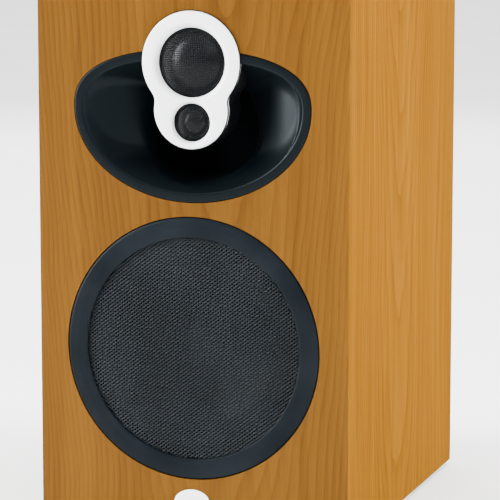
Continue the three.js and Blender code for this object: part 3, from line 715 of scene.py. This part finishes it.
# A pan-head screw at each of the flange's holes, with a cross recess cut into its head.
for i in range(1, 5):
    name = f"woofer_screw_{i}"
    low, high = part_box(name)
    centre = (low + high) / 2
    head = [(0, 4.3), (2.2, 4.4), (3.6, 4.85), (3.6, 4.95), (2, 4.95), (2, 8.4), (0, 8.4)]
    screw = turned("flange_" + name, head, centre, 0.2, 32)
    slots = []
    for wide, tall in ((1.9, 0.4), (0.4, 1.9)):
        recess = rounded_rectangle(centre, wide, tall, 0.15, 2)
        slots.append(prism("recess", recess, FRONT + 4 * MM, FRONT + 4.75 * MM))
    stand_for(subtract(screw, *slots), name)


def blend_across(piece, node):
    """The piece stands for the node and takes the look of its slot. It is tied to no body, so it stays still."""
    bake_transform(piece)
    paint(piece, SLOT_LOOKS[NODE_SLOTS[node]])
    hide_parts(node)


def roll_points(middle_radius, depth, size, steps=16):
    """A half circle that bulges forwards, as (radius, depth) points outwards from the cone."""
    turns = [math.pi * i / steps for i in range(steps + 1)]
    return [(middle_radius - size * math.cos(a), depth - size * math.sin(a)) for a in turns]


ROLL_MIDDLE = 59
ROLL_FRONT, ROLL_BACK = 12.2, 13  # depths of the surround's two flat faces
SURROUND_INNER = 50.8
SURROUND_OUTER = 68.3

surround_profile = [
    (SURROUND_INNER, ROLL_FRONT), *roll_points(ROLL_MIDDLE, ROLL_FRONT, 5.4), (SURROUND_OUTER, ROLL_FRONT),
    (SURROUND_OUTER, ROLL_BACK), *reversed(roll_points(ROLL_MIDDLE, ROLL_BACK, 4.6)),
    (SURROUND_INNER, ROLL_BACK),
]
surround = lathe("half_roll_surround", from_depths(surround_profile), WOOFER)
blend_across(surround, "woofer_surround")

FORMER_RADIUS = 17.2
SPIDER_RADIUS = 46.6


def spider_profile():
    """The corrugated disc: even waves between the former and the frame."""
    steps = 72
    flat_steps = 8  # over which the waves fade in and out
    depth, wave_height, wave_length, thickness = 44.2, 0.8, 4.9, 0.5
    front = []
    for i in range(steps + 1):
        radius = FORMER_RADIUS + (SPIDER_RADIUS - FORMER_RADIUS) * i / steps
        ease = min(1, i / flat_steps, (steps - i) / flat_steps)
        turn = 2 * math.pi * (radius - FORMER_RADIUS) / wave_length
        front.append((radius, depth + wave_height * ease * math.sin(turn)))
    return front + [(r, d + thickness) for r, d in reversed(front)]


spider = lathe("corrugated_spider", from_depths(spider_profile()), WOOFER)
blend_across(spider, "woofer_spider")


def cone_profile():
    """The cone's front and back, slightly curved, from the former out to the surround."""
    mouth_radius, mouth_depth = 50.5, 13.4
    neck_depth = 37
    curve = 0.86
    glue_radius = 53.2  # where the surround is glued on

    def front(share):
        radius = FORMER_RADIUS + (mouth_radius - FORMER_RADIUS) * share
        return radius, neck_depth - (neck_depth - mouth_depth) * share ** curve

    steps = 20
    shares = [i / steps for i in range(steps + 1)]
    near = [front(s) for s in shares] + [(glue_radius, 13.3)]
    far = [(glue_radius, 14.2)] + [(r + 0.3, d + 1.1) for r, d in (front(s) for s in reversed(shares))]
    return near + far


stand_for(lathe("pulp_cone", from_depths(cone_profile()), WOOFER), "woofer_cone")


def cap_points(radius, base, rise, steps=20):
    """A round cap of a sphere as (radius, depth) points from its crown to its rim."""
    sphere = (radius ** 2 + rise ** 2) / (2 * rise)
    widths = [radius * i / steps for i in range(steps + 1)]
    return [(w, base - rise + sphere - math.sqrt(sphere ** 2 - w ** 2)) for w in widths]


def cap(name, radius, base, rise, thickness, centre):
    """A thin round cap that bulges forwards. base is the depth of its rim, and all sizes are millimetres."""
    front = cap_points(radius, base, rise)
    back = cap_points(radius - thickness, base, rise - thickness)
    return lathe(name, from_depths(front + back[::-1]), centre, 96)


stand_for(cap("dust_cap", 19.2, 35.2, 7, 0.7, WOOFER), "woofer_dust_cap")

# ---------- bowl ----------

WALL_SLOPE = 1.55
FLOOR_SLOPE = 0.66
FLOOR_START = 0.4
FLARE = 0.4  # how much flatter the floor starts, at the bowl's left and right ends
FLARE_REACH = 60
WALL_BLEND = 7.0
DISH_DROP = 0.45  # how far below bowl_depth the dish's surface lies
DISH_BACK = 3.2
LIP_BACK = 3.0
THROAT_SHARE = 0.16  # where, from the throat's edge (0) to the lip (1), the throat's rounding starts


def inset_at(x, z):
    """How far inside the bowl's outline each point lies, in millimetres. x and z are arrays."""
    power = np.where(z >= 0, BOWL_TOP_POWER, 2.0)
    reach = np.where(z >= 0, BOWL_ABOVE, BOWL_BELOW)
    low = np.zeros_like(x)
    high = np.full_like(x, BOWL_ABOVE - 0.01)
    for _ in range(40):
        guess = (low + high) / 2
        share = (np.abs(x) / (BOWL_HALF_WIDTH - guess)) ** power + (np.abs(z) / (reach - guess)) ** power
        inside = share < 1
        low = np.where(inside, guess, low)
        high = np.where(inside, high, guess)
    return (low + high) / 2


def bowl_depth(x, z):
    """The depth of the bowl's surface: a steep wall under the lip, and a floor that slopes from the left
    and right ends to the middle. The shallower of the two counts, and a curve joins them."""
    wall = np.maximum(inset_at(x, z) - BOWL_LIP, 0) * WALL_SLOPE
    inward = np.maximum(BOWL_HALF_WIDTH - BOWL_LIP - np.abs(x), 0)
    flare = FLARE * inward * np.maximum(1 - inward / FLARE_REACH, 0) ** 2
    floor = FLOOR_START + FLOOR_SLOPE * inward - flare
    near = np.maximum(WALL_BLEND - np.abs(wall - floor), 0) / WALL_BLEND
    return np.maximum(np.minimum(wall, floor) - near ** 2 * WALL_BLEND / 4, 0)


def bowl():
    """The dished horn and its throat as one closed shell, cut out around the pod."""
    count = 224
    turns = np.array([2 * math.pi * (i + 0.5) / count for i in range(count)])
    throat_x = THROAT_HALF[0] * np.cos(turns)
    throat_z = THROAT_HALF[1] * np.sin(turns) - THROAT_DROP
    lip = np.array([bowl_edge(a, BOWL_LIP) for a in turns])
    lip_x, lip_z = lip[:, 0], lip[:, 1]

    def ring(x, depth, z):
        depth = np.broadcast_to(depth, x.shape)
        return [(px * MM, FRONT + pd * MM, BOWL_MIDDLE.z + pz * MM) for px, pd, pz in zip(x, depth, z)]

    def edge_ring(inset, depth):
        points = np.array([bowl_edge(a, inset) for a in turns])
        return ring(points[:, 0], depth, points[:, 1])

    def between(share):
        return throat_x + (lip_x - throat_x) * share, throat_z + (lip_z - throat_z) * share

    def shrunk_throat(scale):
        return throat_x * scale, (throat_z + THROAT_DROP) * scale - THROAT_DROP

    # The flange: its outer side and its lip's soft edges.
    rings = [edge_ring(2.0, LIP_BACK), edge_ring(0.0, LIP_BACK), edge_ring(0.0, 0.55), edge_ring(0.15, 0.2),
             edge_ring(0.5, 0.0), edge_ring(1.0, -0.05), edge_ring(BOWL_LIP - 1.6, -0.05),
             edge_ring(BOWL_LIP - 0.8, 0.0), edge_ring(BOWL_LIP - 0.25, 0.18)]
    # The dish, with its rings closest together under the lip.
    steps = 30
    for i in range(steps + 1):
        x, z = between(1 - (1 - THROAT_SHARE) * (i / steps) ** 1.3)
        rings.append(ring(x, bowl_depth(x, z) + DISH_DROP, z))
    # The throat's rounded edge: a curve from the dish, over the corner, down the throat's wall.
    start_x, start_z = between(THROAT_SHARE)
    start_depth = bowl_depth(start_x, start_z) + DISH_DROP
    corner_depth = bowl_depth(throat_x, throat_z) + DISH_DROP
    end_x, end_z = shrunk_throat(0.95)
    end_depth = corner_depth + 9
    steps = 10
    for i in range(1, steps + 1):
        t = i / steps
        first, corner, last = (1 - t) ** 2, 2 * t * (1 - t), t ** 2
        rings.append(ring(first * start_x + corner * throat_x + last * end_x,
                          first * start_depth + corner * corner_depth + last * end_depth,
                          first * start_z + corner * throat_z + last * end_z))
    # The throat's floor, and back round its underside.
    for scale, below in ((0.93, -5), (0.88, -1.5), (0.8, 0), (0.02, 0), (0.02, 3), (0.8, 3), (0.94, 2)):
        x, z = shrunk_throat(scale)
        rings.append(ring(x, THROAT_DEPTH + below, z))
    # The dish's underside, out to the flange.
    for x, z in (shrunk_throat(1.07), between(0.3), between(0.6), between(0.85)):
        rings.append(ring(x, bowl_depth(x, z) + DISH_BACK, z))
    rings.append(edge_ring(BOWL_LIP - 1, LIP_BACK))
    piece = loft("horn_bowl", rings, 50, joined=True)
    cutter = prism("cut_pod_shape", pod_outline(-0.4), FRONT - 8 * MM, FRONT + 30.4 * MM)
    return subtract(piece, cutter)


stand_for(bowl(), "waveguide")

# ---------- pod ----------

PLATE_FRONT = -2.0
PLATE_BACK = 3.0
PLATE_FILLET = 1.3
PLATE_OPENINGS = (("mid", MID, 24.4, 21.5), ("tweeter", TWEETER, 13.95, 11.85))  # bevel and opening radii


def faceplate():
    """The silver plate: a rounded front edge and a dished, bevelled opening at each driver."""
    rings = []
    steps = 6
    for i in range(steps + 1):
        angle = math.pi / 2 * (1 - i / steps)
        inset = PLATE_FILLET * (1 - math.cos(angle))
        depth = PLATE_FRONT + PLATE_FILLET * (1 - math.sin(angle))
        rings.append([(x, FRONT + depth * MM, z) for x, z in pod_outline(inset)])
    rings.append([(x, FRONT + PLATE_BACK * MM, z) for x, z in pod_outline(0)])
    piece = loft("pod_plate", rings, 30)
    cutters = []
    for driver, centre, bevel, opening in PLATE_OPENINGS:
        profile = [(0, PLATE_FRONT - 3), (bevel + 3, PLATE_FRONT - 3), (bevel + 0.5, PLATE_FRONT - 0.02),
                   (bevel, PLATE_FRONT + 0.1), (bevel - 0.55, PLATE_FRONT + 0.55), (opening + 0.35, 0.9),
                   (opening, 1.5), (opening, PLATE_BACK + 2), (0, PLATE_BACK + 2)]
        cutters.append(lathe("cut_" + driver, from_depths(profile), centre, 160))
    return subtract(piece, *cutters)


stand_for(faceplate(), "pod_faceplate")


def pod_housing():
    """The black cup behind the plate, with softened edges and a closed back."""
    rings = []
    for inset, depth in ((1.0, 3.1), (1.2, 3.3), (1.2, 29), (2.2, 30)):
        rings.append([(x, FRONT + depth * MM, z) for x, z in pod_outline(inset)])
    inner = prism("cut_cup_inside", pod_outline(2.7), FRONT - 3 * MM, FRONT + 28 * MM)
    return subtract(loft("pod_cup", rings, 40), inner)


stand_for(pod_housing(), "pod_rear_housing")


def extra(piece, material, node):
    """A piece that belongs with a node's body and slot and stands for no node of its own."""
    paint(piece, material)
    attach(piece, NODE_BODIES[node])


def pod_rim():
    """A thin black ring that shows all round the silver plate."""
    lip = prism("pod_black_rim", pod_outline(-0.55), FRONT - 0.6 * MM, FRONT + 0.9 * MM)
    return subtract(lip, prism("cut_rim_inside", pod_outline(-0.03), FRONT - CUT_PAST, FRONT + CUT_PAST))


extra(pod_rim(), BLACK, "pod_rear_housing")


def guard(node, centre, reach, rise, pitch, wire):
    """A domed guard: woven wires over a round cap, held in a turned rim. All sizes are millimetres, and
    wire is the wires' radius."""
    rim_depth = 2.2
    rim_half = 0.5
    rim_front, rim_back = 1.9, 2.5
    sphere = (reach ** 2 + rise ** 2) / (2 * rise)

    def surface(x, z):
        width = math.hypot(x, z) / MM
        return FRONT + (rim_depth - rise + sphere - math.sqrt(max(sphere ** 2 - width ** 2, 0))) * MM

    wires = woven(centre, reach * MM, pitch * MM, (0.0, math.pi / 2), wire * 0.6 * MM, surface)
    mesh = tubes(node + "_wires", wires, wire * MM, 0.8)
    stand_for(mesh, node, material=GUARD_WIRE)
    inner, outer = reach - rim_half, reach + rim_half
    profile = [(inner, rim_front), (outer, rim_front), (outer, rim_back), (inner, rim_back)]
    extra(turned(node + "_rim", profile, centre, 0.15, 96), GUARD_WIRE, node)


guard("mid_guard", MID, 21.3, 5.2, 1.12, 0.2)
guard("tweeter_guard", TWEETER, 11.7, 3.6, 0.9, 0.16)

MID_DOME = 18.4
TWEETER_DOME = 8.6


def dome_surround(driver, centre, dome, depth, edge):
    """The small half roll between a dome's rim, with the radius dome, and its frame, from the radius edge."""
    skin = 0.4
    overlap = 0.9  # onto the dome's rim
    roll = (edge - dome) / 2
    middle_radius = dome + roll
    profile = [(dome - overlap, depth), *roll_points(middle_radius, depth, roll - 0.3), (edge, depth)]
    profile += [(edge, depth + skin), *reversed(roll_points(middle_radius, depth + skin, roll - 0.5))]
    profile += [(dome - overlap, depth + skin)]
    piece = lathe(driver + "_half_roll", from_depths(profile), centre, 96)
    blend_across(piece, driver + "_surround")


stand_for(cap("mid_diaphragm", MID_DOME, 6.4, 6, 0.5, MID), "mid_dome")
stand_for(cap("tweeter_diaphragm", TWEETER_DOME, 5.4, 3.6, 0.5, TWEETER), "tweeter_dome")
dome_surround("mid", MID, MID_DOME, 6.6, 21.1)
dome_surround("tweeter", TWEETER, TWEETER_DOME, 5.6, 11.1)

# ---------- rear ----------


def port():
    """The flared reflex port with its flange."""
    bore = 23
    wall = 2.5
    flare_width, flare_length, flare_start = 11, 14, 250
    steps = 16
    flare = []
    for i in range(steps + 1):
        share = i / steps
        radius = bore + flare_width * (1 - math.sqrt(1 - share ** 2))
        flare.append((radius, flare_start + flare_length * share))
    outside = [(r + wall, d) for r, d in flare if d < 260]
    inner_end = [(bore + wall, 154), (24.2, 153.9), (bore, 154.6)]
    flange = [(34.6, 264), (36.6, 264), (37, 263.5), (37, 261.5), (31.5, 261.5)]
    profile = [*inner_end, *flare, *flange, *outside[::-1]]
    return lathe("flared_port", from_depths(profile), PORT, 128)


stand_for(port(), "port_tube")


def terminal_cup():
    """The recessed terminal cup: a rounded flange, sloping walls and a floor."""
    def at(half_x, half_z, corner, depth):
        return [(x, FRONT + depth * MM, z) for x, z in rounded_rectangle(CUP, half_x, half_z, corner)]

    floor = [at(1, 1, 0.5, 246), at(34.5, 21.5, 3, 246), at(35.6, 22.6, 4, 246.8)]
    walls = [at(36, 23, 4.4, 248), at(37.4, 24.4, 5, 262.6), at(38.2, 25.2, 5.4, 263.7)]
    flange = [at(39.2, 26.2, 5.6, 264), at(44.8, 31.8, 4, 264), at(45.7, 32.7, 4, 263.6),
              at(46, 33, 4, 262.8), at(46, 33, 4, 261)]
    back = [at(39, 26, 4, 261), at(38.6, 25.6, 4, 243), at(1, 1, 0.5, 243)]
    return loft("terminal_recess", floor + walls + flange + back, 40)


stand_for(terminal_cup(), "terminal_cup")

FLUTES = 14
FLUTE_DEPTH = 0.045  # of the knob's radius

for side in ("negative", "positive"):
    stud_name = side + "_post_stud"
    centre = middle(stud_name)
    stud = [(0, -29), (3, -29), (3, -24.3), (5.5, -24.3), (5.5, -21.3), (3, -21.3), (3, -17.7), (6.2, -17.7),
            (6.2, -15.7), (3, -15.7), (3, -4), (0, -4)]
    stand_for(turned("gold_" + stud_name, stud, centre, 0.3, 48, origin=BACK), stud_name)
    washer = [(3.4, -15.4), (7.2, -15.4), (7.2, -14.2), (3.4, -14.2)]
    washer_name = side + "_post_washer"
    stand_for(turned("gold_" + washer_name, washer, centre, 0.3, 64, origin=BACK), washer_name)
    knob = rounded([(3.4, -13.9), (7.5, -13.9), (7.5, -1.4), (6.5, -0.5), (0, -0.5), (0, -3), (3.4, -3)], 0.4)
    grip = lathe(f"{side}_knob", from_depths(knob, BACK), centre, FLUTES * 10,
                 waves=lambda a: 1 - FLUTE_DEPTH * (0.5 + 0.5 * math.cos(FLUTES * a)) ** 3)
    stand_for(grip, side + "_post_knob")

# ---------- damping pad ----------


def foam_pad():
    """The foam pad: a block whose faces bulge a little, so that its edges and ends draw in."""
    crown, end_pull = 0.05, 0.03
    half_x_share = 0.98
    low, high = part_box("damping_pad")
    centre = (low + high) / 2
    half = (high - low) / 2
    work = bmesh.new()
    bmesh.ops.create_cube(work, size=2.0)
    bmesh.ops.subdivide_edges(work, edges=work.edges, cuts=11, use_grid_fill=True)
    for vertex in work.verts:
        x, y, z = vertex.co
        bulge = 1 - crown * (y * y + z * z)
        pull = 1 - end_pull * x * x
        vertex.co = Vector((x * half.x * bulge * half_x_share, y * half.y * pull, z * half.z * pull)) + centre
    mesh = bpy.data.meshes.new("foam_pad")
    work.to_mesh(mesh)
    work.free()
    piece = bpy.data.objects.new("foam_pad", mesh)
    bpy.context.scene.collection.objects.link(piece)
    smooth(piece, 60)
    return piece


pad = foam_pad()
stand_for(pad, "damping_pad")

# ---------- studio ----------


def floor():
    """A wide pale floor under the feet."""
    size = 30.0
    points = [(-size, -size, 0), (size, -size, 0), (size, size, 0), (-size, size, 0)]
    piece = make_object("studio_floor", points, [(0, 1, 2, 3)])
    look = Look("pale_floor", roughness=0.9)
    tint = look.mix(look.between(look.noise(3.0), 0.3, 0.7, 0, 1), rgb(244, 244, 243), rgb(249, 249, 248))
    paint(piece, look.finish(tint))


LIT_POINT = Vector((0, 0, 0.2))  # near the cabinet's middle. Every area light faces it
WORLD_STRENGTH = 0.8
SUN_STRENGTH = 5.2
SUN_SPREAD = math.radians(60)


def area_light(name, place, size, power):
    light = bpy.data.lights.new(name, "AREA")
    light.shape = "RECTANGLE"
    light.size, light.size_y = size
    light.energy = power
    lamp = bpy.data.objects.new(name, light)
    lamp.location = place
    lamp.rotation_euler = (LIT_POINT - Vector(place)).to_track_quat("-Z", "Y").to_euler()
    bpy.context.scene.collection.objects.link(lamp)


def studio():
    """A pale room: a lamp on each side, two weak fills and a wide soft light from above."""
    floor()
    world = bpy.data.worlds.new("pale_room")
    world.use_nodes = True
    background = world.node_tree.nodes["Background"]
    background.inputs["Color"].default_value = (1, 1, 1, 1)
    background.inputs["Strength"].default_value = WORLD_STRENGTH
    bpy.context.scene.world = world
    area_light("key_left", (-2.4, -1.15, 1.1), (1.3, 2.0), 430)
    area_light("front_fill", (1.3, -2.3, 1.7), (1.2, 0.9), 26)
    area_light("side_right", (2.4, -0.1, 0.65), (0.8, 1.3), 370)
    area_light("rear_fill", (-0.9, 2.6, 1.3), (1.4, 1.0), 45)
    overhead = bpy.data.lights.new("overhead_soft", "SUN")
    overhead.energy = SUN_STRENGTH
    overhead.angle = SUN_SPREAD
    lamp = bpy.data.objects.new("overhead_soft", overhead)
    bpy.context.scene.collection.objects.link(lamp)


CAMERA_PLACE = (0.5192, -1.5895, 0.4008)
CAMERA_TURN = 18.248  # degrees towards the left
CAMERA_DIP = 7.955  # degrees below level
FOCAL_LENGTH = 182.14
SENSOR_WIDTH = 36


def camera():
    """The main view: from the right of the front and a little above, about 1.7 m from the middle."""
    lens = bpy.data.cameras.new("product_camera")
    lens.sensor_width = SENSOR_WIDTH
    lens.lens = FOCAL_LENGTH
    viewer = bpy.data.objects.new("product_camera", lens)
    viewer.location = CAMERA_PLACE
    viewer.rotation_euler = (math.radians(90 - CAMERA_DIP), 0, math.radians(CAMERA_TURN))
    bpy.context.scene.collection.objects.link(viewer)
    bpy.context.scene.camera = viewer


camera()
studio()
